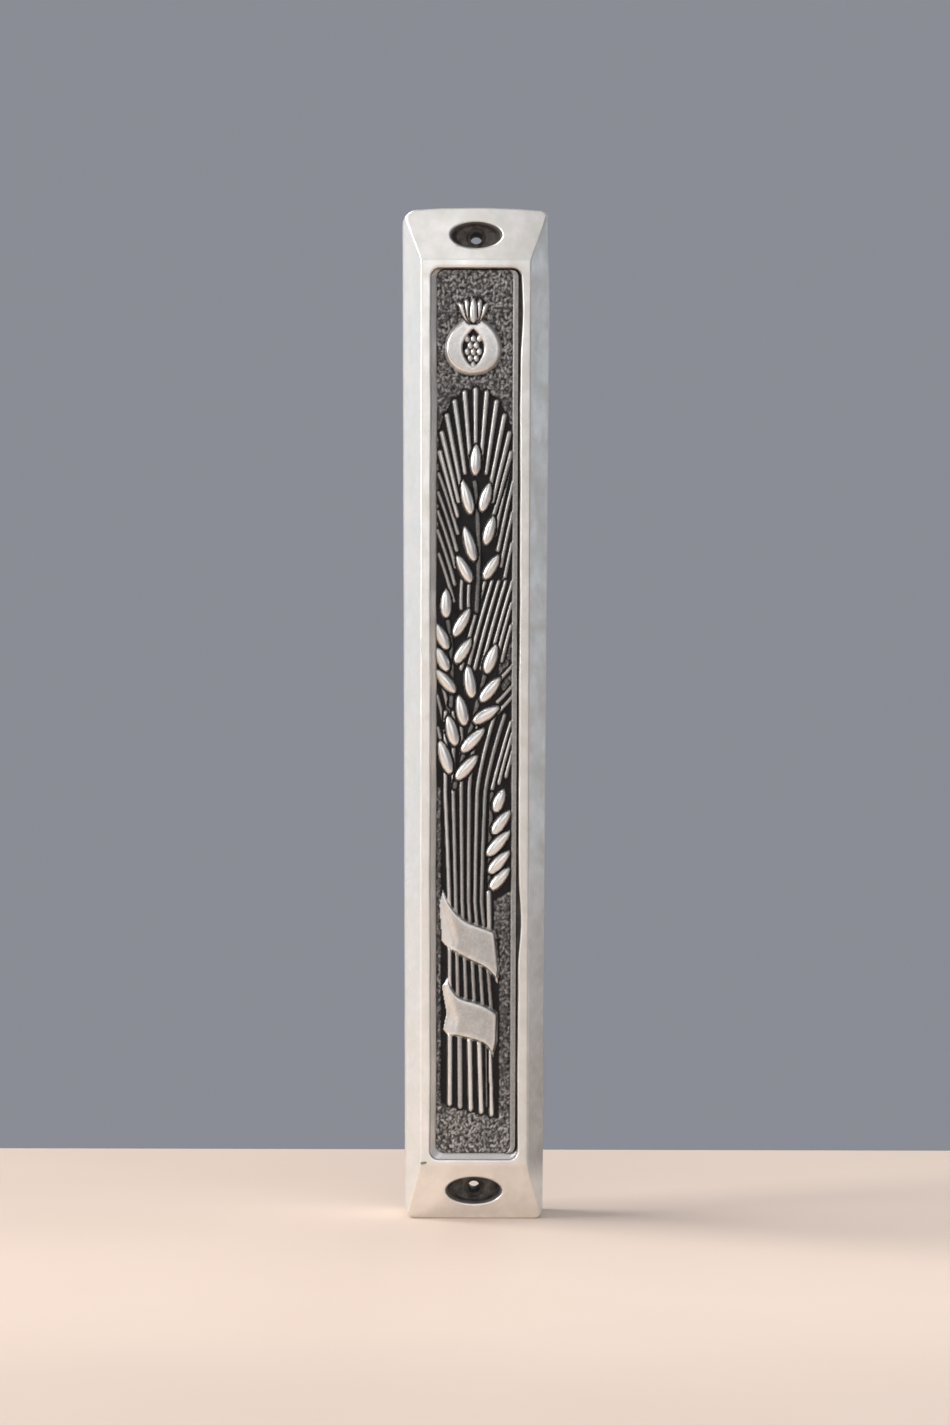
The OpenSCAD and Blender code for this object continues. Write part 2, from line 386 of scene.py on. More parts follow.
# Steps along each corner, short side and long side of an outline
ARC_STEPS = 12
SHORT_STEPS = 10
LONG_STEPS = 74


def drawn_in(z, foot_share):
    """Share of its full width that the case has at a height."""
    return foot_share + (1 - foot_share) * z / CASE_H


def rounded_outline(half_w, z0, z1, radii, foot_share):
    """Points round an upright rounded outline, the same number whatever its size. The radii run
    from the bottom right corner anticlockwise."""
    signs = ((1, -1), (1, 1), (-1, 1), (-1, -1))
    arcs = []
    for (side, up), radius, start in zip(signs, radii, (-90, 0, 90, 180)):
        turn = np.radians(start + np.linspace(0, 90, ARC_STEPS + 1))
        x = side * (half_w - radius) + radius * np.cos(turn)
        z = (z1 - radius if up > 0 else z0 + radius) + radius * np.sin(turn)
        arcs.append(np.stack([x, z], 1))
    points = []
    for k, arc in enumerate(arcs):
        after = arcs[(k + 1) % 4][0]
        steps = SHORT_STEPS if k % 2 else LONG_STEPS
        along = np.linspace(0, 1, steps + 1)[1:-1, None]
        points += [arc, arc[-1] + (after - arc[-1]) * along]
    points = np.concatenate(points)
    points[:, 0] *= drawn_in(points[:, 1], foot_share)
    return points


def case_outline(inset):
    """The case's outer outline. Its top edge bows up, its top left corner is worn down, and its
    right side draws in a little near the top."""
    radii = np.array([1.5, 1.0, 2.3, 1.7]) - inset
    points = rounded_outline(HALF_W - inset, inset, CASE_H - inset, radii, FOOT_SHARE)
    x, z = points.T
    at_top = smooth_step(CASE_H - 5, CASE_H, z)
    points[:, 1] -= 0.5 * at_top * (x / HALF_W) ** 2
    points[:, 0] -= 0.45 * smooth_step(CASE_H - 16, CASE_H, z) * (x > HALF_W - 3)
    return points


def front_surface(x, z):
    """Depth of the case's front at a point: face, bevels and ramps with softened edges."""
    face_half_w = FACE_HALF_W * drawn_in(z, FACE_FOOT_SHARE)
    planes = np.stack([
        np.full_like(x, FRONT_Y),
        FRONT_Y + BEVEL_DROP * (np.abs(x) - face_half_w) / BEVEL_W,
        FRONT_Y + TOP_DROP * (z - CASE_H + RAMP_L) / RAMP_L,
        FRONT_Y + BOTTOM_DROP * (RAMP_L - z) / RAMP_L,
    ])
    softness = 0.07
    top = planes.max(0)
    return top + softness * np.log(np.exp((planes - top) / softness).sum(0))


def sway(z, size):
    """The slight waviness of a hand-finished casting along its length."""
    return size * (np.sin(z / 7.3 + 1.1) + 0.7 * np.sin(z / 3.1 + 4.0) + 0.4 * np.sin(z / 1.3))


def recess_outline(grow, lean=0.0):
    """The recess's outline, grown by a margin. Its right edge has slack spots, and its left and
    lower sides slope in by the band's width as lean goes to 1."""
    radii = [RECESS_R + grow] * 4
    z0, z1 = RECESS_Z0 - grow, RECESS_Z1 + grow
    points = rounded_outline(RECESS_HALF_W + grow, z0, z1, radii, FACE_FOOT_SHARE)
    x, z = points[:, 0].copy(), points[:, 1].copy()
    slack = 0.30 * hump(z, 134.5, 8) + 0.38 * hump(z, 44, 7)
    points[:, 0] += np.where(x > 3, slack, 0) + sway(z, 0.03) * np.sign(x) * (np.abs(x) > 3)
    points[:, 0] += BAND_W * lean * smooth_step(0, -5, x)
    points[:, 1] += BAND_W * lean * smooth_step(RECESS_Z0 + 4, RECESS_Z0, z)
    return points


def case_rings():
    """Rings from the recess's floor, out over the front, round the sides and into the chamber."""
    rings = []

    def ring(points, y):
        y = np.broadcast_to(y, len(points))
        rings.append(np.stack([points[:, 0], y, points[:, 1]], 1))

    roll_w, roll_d = 0.34, 0.45
    back_r = 0.4

    # The recess's wall, its sloped band and its rolled rim
    ring(recess_outline(0, 1), RECESS_FLOOR_Y)
    ring(recess_outline(0, 1), FRONT_Y + 1.9)
    ring(recess_outline(0, 1), FRONT_Y + 1.25)
    for lean in (0.85, 0.6, 0.3, 0.0):
        ring(recess_outline(0, lean), FRONT_Y + roll_d + 0.75 * lean)
    for turn in np.radians(np.linspace(15, 90, 6)):
        ring(recess_outline(roll_w * (1 - math.cos(turn))), FRONT_Y + roll_d * (1 - math.sin(turn)))

    # The face, then the bevels and ramps, slightly bowed
    inner = recess_outline(roll_w)
    face = rounded_outline(FACE_HALF_W, RAMP_L, CASE_H - RAMP_L, [0.3] * 4, FACE_FOOT_SHARE)
    for t in (0.3, 0.6, 0.85, 1.0):
        points = inner + (face - inner) * t
        ring(points, front_surface(points[:, 0], points[:, 1]))
    edge = case_outline(0.3)
    for t in (0.03, 0.07, 0.14, 0.25, 0.4, 0.55, 0.7, 0.85, 1.0):
        points = face + (edge - face) * t
        y = front_surface(points[:, 0], points[:, 1])
        ring(points, y + 0.035 * math.sin(math.pi * t) * (1 + np.sin(points[:, 1] / 5.1)))

    # The sides, with a soft front edge and a rounded back edge
    for inset, back in ((0.12, 0.03), (0.03, 0.14), (0.0, 0.35)):
        points = case_outline(inset)
        ring(points, front_surface(points[:, 0], points[:, 1]) + back)
    for y in (-1.5, 2.0, 5.0, BACK_Y - back_r):
        ring(case_outline(0), y)
    for turn in np.radians((30, 60, 90)):
        points = case_outline(back_r * (1 - math.cos(turn)))
        ring(points, BACK_Y - back_r * (1 - math.sin(turn)))

    # The back and the chamber
    mouth = rounded_outline(CHAMBER_HALF_W, CHAMBER_Z0, CHAMBER_Z1, [1.5] * 4, 1)
    outer = case_outline(0)
    ring(outer + (mouth - outer) * 0.6, BACK_Y)
    ring(mouth, BACK_Y)
    ring(mouth, CHAMBER_Y + 0.5)
    floor = rounded_outline(CHAMBER_HALF_W - 0.5, CHAMBER_Z0 + 0.5, CHAMBER_Z1 - 0.5, [1] * 4, 1)
    ring(floor, CHAMBER_Y)
    return rings


def bore_exit(z):
    """How far back a screw bore goes: the upper one ends in the groove, the lower at the back."""
    return GROOVE_Y if z > CASE_H / 2 else BACK_Y


def screw_hole(z, half_w):
    """Cutter of one oval pocket with a rolled mouth, its countersink and its bore."""
    turn = np.radians(np.arange(0, 360, 5))
    rings = []

    def ring(half_x, half_z, y=None, below=0.0):
        x = half_x * np.cos(turn)
        up = z + half_z * np.sin(turn)
        depth = front_surface(x, up) + below if y is None else np.full_like(x, y)
        rings.append(np.stack([x, depth, up], 1))

    roll = 0.48
    ring(half_w + roll, POCKET_HALF_H + roll, below=-2.0)
    for bend in np.radians(np.linspace(0, 90, 6)):
        grow = roll * (1 - math.sin(bend))
        ring(half_w + grow, POCKET_HALF_H + grow, below=roll * (1 - math.cos(bend)))
    ring(half_w - 0.25, POCKET_HALF_H - 0.1, y=POCKET_FLOOR_Y - 0.8)
    ring(half_w - 0.9, POCKET_HALF_H - 0.25, y=POCKET_FLOOR_Y)
    ring(COUNTERSINK_R * 0.95, COUNTERSINK_R * 0.95, y=POCKET_FLOOR_Y)
    ring(BORE_R, BORE_R, y=POCKET_FLOOR_Y + COUNTERSINK_R - BORE_R)
    ring(BORE_R, BORE_R, y=bore_exit(z) - 0.25)
    ring(BORE_R, BORE_R, y=BACK_Y + 1)
    return add_mesh("screw_cutter", *loft(rings))


def nick():
    """Cutter of a small gouge at the left end of the lower ramp's edge, as wear."""
    turn = np.radians(np.arange(0, 360, 30))
    lean = math.radians(12)
    x, z = NICK_PLACE
    rings = []
    for t in np.linspace(-0.97, 0.97, 9):
        radius = 0.22 * math.sqrt(1 - t * t)
        along = t * NICK_LENGTH / 2
        across = radius * np.cos(turn)
        depth = FRONT_Y + 0.02 + 0.8 * radius * np.sin(turn)
        up = z + along * math.sin(lean) + across * math.cos(lean)
        rings.append(np.stack([x + along * math.cos(lean) - across * math.sin(lean), depth, up], 1))
    return add_mesh("nick_cutter", *loft(rings))


def cover_groove():
    """Cutter of the dovetail groove, which runs out through the top of the case."""
    slope = COVER_TAPER / COVER_T
    mouth = GROOVE_HALF_W - (BACK_Y + 1 - GROOVE_Y) * slope
    section = [(-GROOVE_HALF_W, GROOVE_Y), (GROOVE_HALF_W, GROOVE_Y)]
    section += [(mouth, BACK_Y + 1), (-mouth, BACK_Y + 1)]
    rings = [np.array([(x, y, z) for x, y in section]) for z in (COVER_LOW[2] - 0.05, CASE_H + 1)]
    return add_mesh("groove_cutter", *loft(rings))


def case_painted_shade(points):
    """How much painted shade each point of the case gets: most in its recess, pockets, chamber and nick,
    and a little on its right side, most of all low down on the bevel."""
    x, y, z = points.T
    below_face = y - FRONT_Y
    below_front = y - front_surface(x, z)
    in_recess = (z > RECESS_Z0 - 0.5) & (z < RECESS_Z1 + 0.5) & (y < CHAMBER_Y)
    in_recess &= np.abs(x) < RECESS_HALF_W + 0.9
    gap, band = smooth_step(0.15, 0.7, below_face), smooth_step(1.22, 1.8, below_face)
    walls = np.where(x > PLAQUE_X1, gap, band)
    recess = in_recess * np.maximum(walls, 0.04 * smooth_step(0.2, 0.6, below_face))
    pocket = np.zeros_like(x)
    for hole_z, half_w in SCREW_HOLES:
        reach = np.hypot(x / (half_w + 0.4), (z - hole_z) / (POCKET_HALF_H + 0.4))
        in_pocket = (reach < 1.0) & (y < bore_exit(hole_z) - 0.2)
        pocket = np.maximum(pocket, in_pocket * smooth_step(0.15, 1.2, below_front))
    chamber = (y > CHAMBER_Y - 0.1) & (y < BACK_Y - 0.2) & (z > CHAMBER_Z0 - 1) & (z < CHAMBER_Z1 + 1)
    chamber &= np.abs(x) < CHAMBER_HALF_W + 0.1
    gouge = np.hypot(x - NICK_PLACE[0], z - NICK_PLACE[1]) < NICK_LENGTH
    gouge &= (below_face > 0.08) & (below_front > 0.05) & (below_front < 0.5)
    # Painted shade down the right of the front, deepest low on the bevel
    to_right = smooth_step(-4, HALF_W, x) * (y < 0)
    low_bevel = smooth_step(70, 0, z) * (x > FACE_HALF_W)
    painted_right_shade = to_right * (0.24 + 0.21 * low_bevel) * smooth_step(RAMP_L - 3, RAMP_L + 1, z)
    return np.maximum.reduce([0.85 * recess, 0.96 * pocket, 0.5 * chamber, 0.7 * gouge, painted_right_shade])


def make_case():
    case = add_mesh("pewter_case", *loft(case_rings()))
    cut(case, [screw_hole(*hole) for hole in SCREW_HOLES] + [cover_groove(), nick()], 40)
    case.modifiers.new("even_shading", "WEIGHTED_NORMAL").keep_sharp = True
    set_attribute(case, "painted_shade", case_painted_shade(vertices_of(case)))
    case.data.materials.append(case_metal())
    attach(case, "case")
    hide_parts("case_body")


# ---------------------------------------------------------------- plaque

# Spacing of the relief's grid, half the width of its picture, the dark moat round what stands in
# front, and the width of a beard
GRID_X, GRID_Z = 0.120, 0.156
PICTURE_HALF_W = 5.6
MOAT = 0.22
BEARD_W = 0.66


class Relief:
    """Height in millimetres over the plaque's ground, on a grid, with how brightly it is worn, raised as
    a painted highlight on the ribbons' folds and edges.
    """

    def __init__(self):
        across = round((PLAQUE_X1 - PLAQUE_X0) / GRID_X)
        up = round((PLAQUE_Z1 - PLAQUE_Z0) / GRID_Z)
        self.xs = np.linspace(PLAQUE_X0, PLAQUE_X1, across + 1)
        self.zs = np.linspace(PLAQUE_Z0, PLAQUE_Z1, up + 1)
        self.x, self.z = np.meshgrid(self.xs, self.zs)
        self.height = np.zeros_like(self.x)
        self.shine = np.zeros_like(self.x)

    def window(self, centre, reach):
        """The part of the grid within reach of a point."""
        i = np.searchsorted(self.xs, (centre[0] - reach, centre[0] + reach))
        k = np.searchsorted(self.zs, (centre[1] - reach, centre[1] + reach))
        return slice(k[0], k[1]), slice(i[0], i[1])

    def raise_to(self, part, height, shine):
        """Lays a feature over the grid where it stands higher than what is there."""
        over = height > self.height[part]
        self.height[part] = np.where(over, height, self.height[part])
        self.shine[part] = np.where(over & (height > 0.02), shine, self.shine[part])

    def carve(self, part, height, moat, shine):
        """Lays a feature over whatever is there, and sinks a dark moat round it."""
        over = height > 0
        sunk = np.minimum(self.height[part], 0.02)
        self.height[part] = np.where(over, height, np.where(moat, sunk, self.height[part]))
        self.shine[part] = np.where(over, shine, np.where(moat, 0.03, self.shine[part]))

    def grain(self, centre, tilt, length, width, height, base=0.0, shine=1.0, moat=0.0):
        """A swelling with a blunt lower end and a pointed tip, which tilt leans to the right."""
        part = self.window(centre, length * 0.55 + moat)
        dx, dz = self.x[part] - centre[0], self.z[part] - centre[1]
        lean = math.radians(tilt)
        along = dx * math.sin(lean) + dz * math.cos(lean)
        across = dx * math.cos(lean) - dz * math.sin(lean)

        def crown(grow):
            u = np.clip(along / (length / 2 + grow), -1, 1)
            belly = np.clip((1 - u) ** 0.62 * (1 + u) ** 0.46, 1e-3, 1)
            return (1 - (across / ((width / 2 + grow) * belly)) ** 2) * (belly > 0.02), belly

        top, belly = crown(0)
        body = np.where(top > 0, base + height * belly ** 0.6 * np.clip(top, 0, 1) ** 0.7, -1)
        if moat:
            self.carve(part, body, crown(moat)[0] > 0, shine)
        else:
            self.raise_to(part, body, shine)

    def strand(self, points, width, height, shine, taper=0.0):
        """A flat-topped ridge along a chain of points, thinner towards its far end by taper."""
        points = np.asarray(points, float)
        low, high = points.min(0), points.max(0)
        part = self.window((low + high) / 2, (high - low).max() / 2 + width)
        steps = np.linalg.norm(np.diff(points, axis=0), axis=1)
        run = np.concatenate([[0], np.cumsum(steps)])
        off = np.full(self.x[part].shape, 1e9)
        reached = np.zeros_like(off)
        for k, (a, b) in enumerate(zip(points[:-1], points[1:])):
            dx, dz = self.x[part] - a[0], self.z[part] - a[1]
            way = (b - a) / steps[k]
            along = np.clip(dx * way[0] + dz * way[1], 0, steps[k])
            distance = np.hypot(dx - along * way[0], dz - along * way[1])
            reached = np.where(distance < off, run[k] + along, reached)
            off = np.minimum(distance, off)
        half = width / 2 * (1 - taper * reached / run[-1])
        self.carve(part, height * (1 - (off / half) ** 4), off < half + MOAT, shine)


def curve(a, b, c, steps=10):
    """Points along the curve from a to c that leans towards b."""
    t = np.linspace(0, 1, steps + 1)[:, None]
    a, b, c = np.array(a), np.array(b), np.array(c)
    return (1 - t) ** 2 * a + 2 * t * (1 - t) * b + t * t * c


def heading_to(angle):
    """Unit direction at an angle from upright, in degrees, positive to the right."""
    turn = math.radians(angle)
    return np.array([math.sin(turn), math.cos(turn)])


def stipple(relief):
    """Short random punch marks over the whole ground, brighter at the plaque's ends."""
    relief.height += 0.12
    relief.shine += 0.45
    chance = np.random.default_rng(11)
    pitch = 0.42
    for z in np.arange(PLAQUE_Z0, PLAQUE_Z1, pitch):
        at_end = max(smooth_step(19, 14, z), 0.6 * smooth_step(118, 125, z))
        for x in np.arange(PLAQUE_X0, PLAQUE_X1, pitch):
            jx, jz, turn, size = chance.uniform(-1, 1, 4)
            centre = (x + 0.22 * jx, z + 0.22 * jz)
            shine = 0.42 + 0.26 * at_end + 0.14 * size
            relief.grain(centre, 90 * turn, 0.66 + 0.22 * size, 0.40, 0.20 + 0.06 * jx, shine=shine)


def sheaf_mask(relief):
    """1 inside the sheaf's outline, where the ground is plain and dark, and 0 in the stippled
    patch at its right."""
    x, z = relief.x, relief.z
    arch = 113.2 + 9.5 * np.sqrt(np.clip(1 - (x / 5.8) ** 2, 0, 1))
    top = smooth_step(0.35, -0.35, z - arch)
    left = np.where(z > 101, 5.35, np.where(z > 64, 7, 5.0))
    right = np.select([z > 84, z > 46.9 + 0.6 * (x - 2.5), z > 41.5], [7, 5.6, 2.8], 3.7)
    inside = smooth_step(-0.3, 0.3, x + left) * smooth_step(-0.3, 0.3, right - x)
    patch = smooth_step(1.1, 0.9, np.hypot((x - 4.9) / 1.4, (z - 81.5) / 4.2))
    return inside * top * smooth_step(15.6, 16.6, z + 0.25 * x) * (1 - patch)


def beard(relief, root, tilt, lean, length, shine=0.44):
    """One beard from a root, set off at tilt and bending towards lean, ending at the border."""
    root = np.array(root, float)
    middle = root + 0.5 * length * heading_to(tilt)
    points = curve(root, middle, middle + 0.5 * length * heading_to(lean))
    points = points[np.abs(points[:, 0]) < PICTURE_HALF_W + 0.1]
    if len(points) > 2:
        relief.strand(points, BEARD_W, 0.40, shine, taper=0.15)


# Grains of the four ears, each from its tip down: middle across and up, tilt to the right, length
UPPER_EAR = [
    (0.0, 112.3, 2, 4.7), (-1.3, 106.8, -14, 5.3), (1.5, 106.8, 16, 4.5), (2.1, 101.9, 16, 4.5),
    (-0.9, 99.9, -16, 5.4), (2.4, 96.5, 31, 4.2), (-1.7, 96.2, -28, 4.6),
]
LEFT_EAR = [
    (-4.4, 91.1, 0, 4.4), (-2.0, 88.3, 30, 4.8), (-5.0, 86.2, -24, 4.2), (-1.8, 84.1, 33, 4.4),
    (-4.9, 82.8, -25, 3.8), (-4.4, 79.6, -40, 4.4),
]
MIDDLE_EAR = [
    (2.4, 82.9, 20, 4.6), (-0.8, 79.5, -8, 4.9), (2.3, 78.4, 40, 4.7), (-2.0, 75.3, -12, 4.7),
    (1.7, 74.7, 60, 4.6), (-3.5, 72.3, -15, 4.7), (-0.3, 70.9, 45, 4.9), (-4.5, 68.4, -18, 5.2),
    (-1.2, 66.9, 42, 4.9),
]
SMALL_EAR = [
    (3.7, 62.0, 22, 3.7), (4.0, 58.8, 38, 4.4), (3.6, 55.7, 44, 5.1), (3.7, 52.9, 44, 4.6),
    (3.8, 50.4, 42, 4.5),
]


def ear(relief, grains, width, stem):
    """An ear: its stem, and the grains over it."""
    relief.strand(stem, 0.8, 0.30, 0.16)
    for x, z, tilt, length in reversed(grains):
        relief.grain((x, z), tilt, length, width, 0.62, 0.30, 0.92, MOAT)


def upper_fan(relief):
    """Beards spreading from the upper ear, their tips along an arch."""
    for k in (-5, 5, -4, 4, -3, 3, -2, 2, -1, 1, 0):
        turn = math.radians(18 * k)
        tip = (5.3 * math.sin(turn), 113.4 + 9.3 * math.cos(turn))
        root = (2.7 * math.sin(turn), 114.6 - 2.1 * abs(k))
        relief.strand([root, tip], BEARD_W, 0.46, 0.54 - 0.03 * k, taper=-0.28)


def slanted_beards(relief):
    """Rows of long beards that fill the sheaf between its ears and the borders."""
    for k in range(5):
        beard(relief, (2.5 + 0.45 * k, 103.6 - 2.3 * k), 11, 14, 11.5, shine=0.40)
    for k in range(6):
        beard(relief, (-2.5 - 0.15 * k, 104.0 - 2.5 * k), -15, -21, 9.5 - 0.3 * k)
    for k in range(8):
        beard(relief, (-2.1 + 1.02 * k, 81.5 + 0.6 * max(k - 4, 0)), 14, 17, 13.4)
    for k in range(2):
        beard(relief, (-2.1 + 1.1 * k, 90.4), -2, 6, 4.6)
    for k in range(3):
        beard(relief, (2.6 + 1.05 * k, 63.6 + 1.0 * k), 14, 18, 13)
    for k in range(4):
        beard(relief, (-3.9 - 0.55 * k, 75.2 - 2.4 * k), -14, -16, 6.0)


def wheat(relief):
    """The sheaf: beards behind, four ears in front, and stalks gathered below them."""
    slanted_beards(relief)
    stalks(relief)
    upper_fan(relief)
    ear(relief, UPPER_EAR, 1.72, curve((-0.1, 109), (0.9, 100), (0.2, 90)))
    ear(relief, SMALL_EAR, 1.80, curve((2.6, 63), (2.2, 55), (2.3, 48)))
    for z in (79.6, 76.6, 75.0):
        beard(relief, (3.4, z), 46, 40, 3.2)
    ear(relief, MIDDLE_EAR, 1.86, curve((1.6, 81), (-0.4, 73), (-3.0, 64)))
    ear(relief, LEFT_EAR, 1.75, curve((-4.2, 89), (-3.2, 84), (-3.6, 76)))
    relief.strand([(2.15, 48.4), (2.25, 43)], 0.85, 0.44, 0.62)


def stalks(relief):
    """Stalks running down behind the ribbons, and standing free below them. The right hand ones
    bend over into the beards above."""
    for k, shine in enumerate((0.70, 0.42, 0.40, 0.38, 0.41, 0.28)):
        start = np.array((-4.45 + 1.2 * k, 63.0))
        bend = 6.0 * max(k - 2, 0)
        middle = start + 4 * heading_to(0.35 * bend)
        over = curve(middle + 8 * heading_to(min(1.4 * bend, 18)), middle, start, 8)
        gathered = [(-4.1 + 1.07 * k, 55), (-3.8 + 0.97 * k, 47)]
        gathered += [(-3.75 + 1.15 * k, 38), (-3.72 + 1.28 * k, 30)]
        relief.strand([*over, *gathered], 0.70, 0.48, shine)
    for k in range(5):
        foot = (-3.7 + 1.6 * k, 17.2 - 0.38 * k)
        faint = 0.3 if k == 1 else 0.0
        relief.strand([(-3.7 + 1.45 * k, 30), foot], 0.88, 0.58 - faint * 0.5, 0.80 - faint)
    relief.strand([(1.75, 30), (1.95, 16.8)], 0.36, 0.24, 0.3)


def inside_distance(relief, outline):
    """Distance of each grid point into a closed outline, negative outside it."""
    outline = np.asarray(outline, float)
    x, z = relief.x, relief.z
    nearest = np.full_like(x, 1e9)
    inside = np.zeros(x.shape, bool)
    for a, b in zip(outline, np.roll(outline, -1, axis=0)):
        run = b - a
        if not run.any():
            continue
        t = np.clip(((x - a[0]) * run[0] + (z - a[1]) * run[1]) / (run @ run), 0, 1)
        nearest = np.minimum(nearest, np.hypot(x - a[0] - t * run[0], z - a[1] - t * run[1]))
        if run[1]:
            inside ^= ((a[1] > z) != (b[1] > z)) & (x < a[0] + run[0] * (z - a[1]) / run[1])
    return np.where(inside, nearest, -nearest)


def ribbon(relief, top, bottom, fold):
    """A band between a top and a bottom edge. Left of its fold it turns back round the sheaf, and its
    fold and edges carry a painted highlight.
    """
    outline = np.concatenate([top, bottom[::-1]])
    depth = inside_distance(relief, outline)
    middle = np.mean(outline[:, 1])
    turned = smooth_step(-1.0, 0.45, fold - relief.x - 0.30 * np.abs(relief.z - middle))
    wrap = 0.92 - 0.32 * ((relief.x - 0.4) / 4.2) ** 2 + 0.03 * np.sin((relief.x + 0.4 * relief.z) * 1.3)
    body = wrap * smooth_step(0, 0.40, depth) * (1 - 0.42 * turned)
    # Painted highlight: brighter near the ribbon's edges, brightest where it turns at the fold
    shine = 0.68 + 0.2 * smooth_step(0.6, 0.2, depth) + 0.50 * turned
    over = (depth > 0) & (body > relief.height - 0.5)
    relief.height = np.where(over, np.maximum(body, 0.25), relief.height)
    relief.shine = np.where(over, shine, relief.shine)


def ribbons(relief):
    """Two ribbons tied round the sheaf, each falling to a point at the right."""
    top = [*curve((-4.8, 48.8), (-3.4, 45.3), (-0.5, 44.0))]
    top += [*curve((-0.5, 44.0), (1.6, 43.3), (3.2, 42.7))]
    left = [(-5.3, 46.6), *curve((-4.9, 41.2), (-3.4, 39.3), (0.8, 37.6))]
    bottom = [*left, *curve((0.8, 37.6), (2.4, 36.9), (3.5, 35.0)), (3.8, 37.1)]
    ribbon(relief, np.array(top), np.array(bottom), -3.0)
    top = [(-4.0, 35.9), *curve((-3.4, 34.3), (-2.6, 32.9), (-0.9, 32.6))]
    top += [*curve((-0.9, 32.6), (2.0, 32.0), (3.6, 30.6))]
    left = [(-4.9, 34.5), (-4.2, 30.6), (-4.7, 28.2), *curve((-4.1, 27.4), (-1.4, 26.9), (1.2, 26.1))]
    bottom = [*left, *curve((1.2, 26.1), (2.3, 25.4), (2.9, 24.1)), (3.5, 26.3)]
    ribbon(relief, np.array(top), np.array(bottom), -2.9)


def emblem(relief):
    """A pomegranate: a round fruit with a pointed crown and an opening full of seeds."""
    centre = np.array((-0.4, 129.0))
    radius = 4.4
    dx, dz = relief.x - centre[0], relief.z - centre[1]
    bulge = radius * (1 + 0.025 * np.cos(3 * np.arctan2(dx, dz)))
    depth = bulge - np.hypot(dx, dz)
    whole = (slice(None), slice(None))
    body = 0.60 * smooth_step(0, 0.7, depth) + 0.38 * np.sqrt(np.clip(depth / radius, 0, 1))
    relief.raise_to(whole, np.where(depth > 0, body, -1), 0.8)
    for k in (0, 4, 1, 3, 2):
        lean = (k - 2) * 17
        base = centre + heading_to(lean) * (0.5, 1.0) + (0, radius - 1.5)
        relief.grain(base + heading_to(lean) * 1.5, lean, 3.8, 1.3, 0.5, 0.3, 0.8, 0.1)

    def opening(up):
        """Half the width of the opening at a height over the fruit's middle."""
        return 1.75 * np.clip(1 - ((up + 0.2) / 3.0) ** 2, 0, 1)

    cut_in = smooth_step(-0.05, 0.35, opening(dz) - np.abs(dx))
    relief.height -= cut_in * 0.6
    relief.shine = np.where(cut_in > 0.5, 0.1, relief.shine)
    for row in range(6):
        up = row * 0.96 - 2.6
        count = 3 - row % 2
        for k in range(count):
            aside = (k - (count - 1) / 2) * 0.92
            if opening(up) > abs(aside) + 0.25:
                relief.grain(centre + (aside, up), 0, 1.0, 0.82, 0.28, 0.42, 0.75)


def blurred(field, cells):
    """The field averaged over a square of cells each way."""
    for axis in (0, 1):
        total = np.zeros_like(field)
        for shift in range(-cells, cells + 1):
            total += np.roll(field, shift, axis)
        field = total / (2 * cells + 1)
    return field


def border(relief):
    """The plain strip along the plaque's right edge."""
    rise = smooth_step(PLAQUE_X1 - 1.0, PLAQUE_X1 - 0.75, relief.x)
    strip = rise > 0
    relief.height = np.where(strip, np.maximum(0.40 * rise, relief.height * (1 - rise)), relief.height)
    relief.shine = np.where(strip, 0.36, relief.shine)


def plaque_relief():
    """The whole relief, softened a little and rounded off at the plaque's edges."""
    relief = Relief()
    stipple(relief)
    mask = sheaf_mask(relief)
    relief.height *= 1 - mask
    relief.shine *= 1 - mask
    wheat(relief)
    ribbons(relief)
    emblem(relief)
    border(relief)
    sides = np.minimum(relief.x - PLAQUE_X0, PLAQUE_X1 - relief.x)
    edge = np.minimum(sides, np.minimum(relief.z - PLAQUE_Z0, PLAQUE_Z1 - relief.z))
    relief.height = np.clip(relief.height, -0.12, 1.05)
    relief.height = 0.6 * relief.height + 0.4 * blurred(relief.height, 1)
    relief.height *= smooth_step(-0.1, 0.12, edge)
    return relief


def panel_mesh(relief):
    """Vertices and faces of the plaque: the relief's grid, then walls and a flat back."""
    rows, cols = relief.x.shape
    radius = RECESS_R - 0.1
    corner_z = np.clip(relief.z, PLAQUE_Z0 + radius, PLAQUE_Z1 - radius)
    rounding = radius - np.sqrt(np.clip(radius ** 2 - (relief.z - corner_z) ** 2, 0, None))
    middle, half_w = (PLAQUE_X0 + PLAQUE_X1) / 2, (PLAQUE_X1 - PLAQUE_X0) / 2
    x = middle + (relief.x - middle) * (1 - rounding / half_w)
    x = x * drawn_in(relief.z, FACE_FOOT_SHARE)
    top = np.stack([x, GROUND_Y - relief.height, relief.z], 2).reshape(-1, 3)
    index = np.arange(rows * cols).reshape(rows, cols)
    quads = np.stack([index[:-1, :-1], index[:-1, 1:], index[1:, 1:], index[1:, :-1]], 2).reshape(-1, 4)
    rim = np.concatenate([index[0, :], index[1:, -1], index[-1, -2::-1], index[-2:0:-1, 0]])
    back = top[rim].copy()
    back[:, 1] = RECESS_FLOOR_Y
    first = len(top)
    ring = np.arange(len(rim))
    after = np.roll(ring, -1)
    walls = np.stack([rim[ring], first + ring, first + after, rim[after]], 1)
    faces = [tuple(q) for q in quads.tolist()] + [tuple(q) for q in walls.tolist()]
    faces.append(tuple(range(first + len(rim) - 1, first - 1, -1)))
    return np.concatenate([top, back]), faces


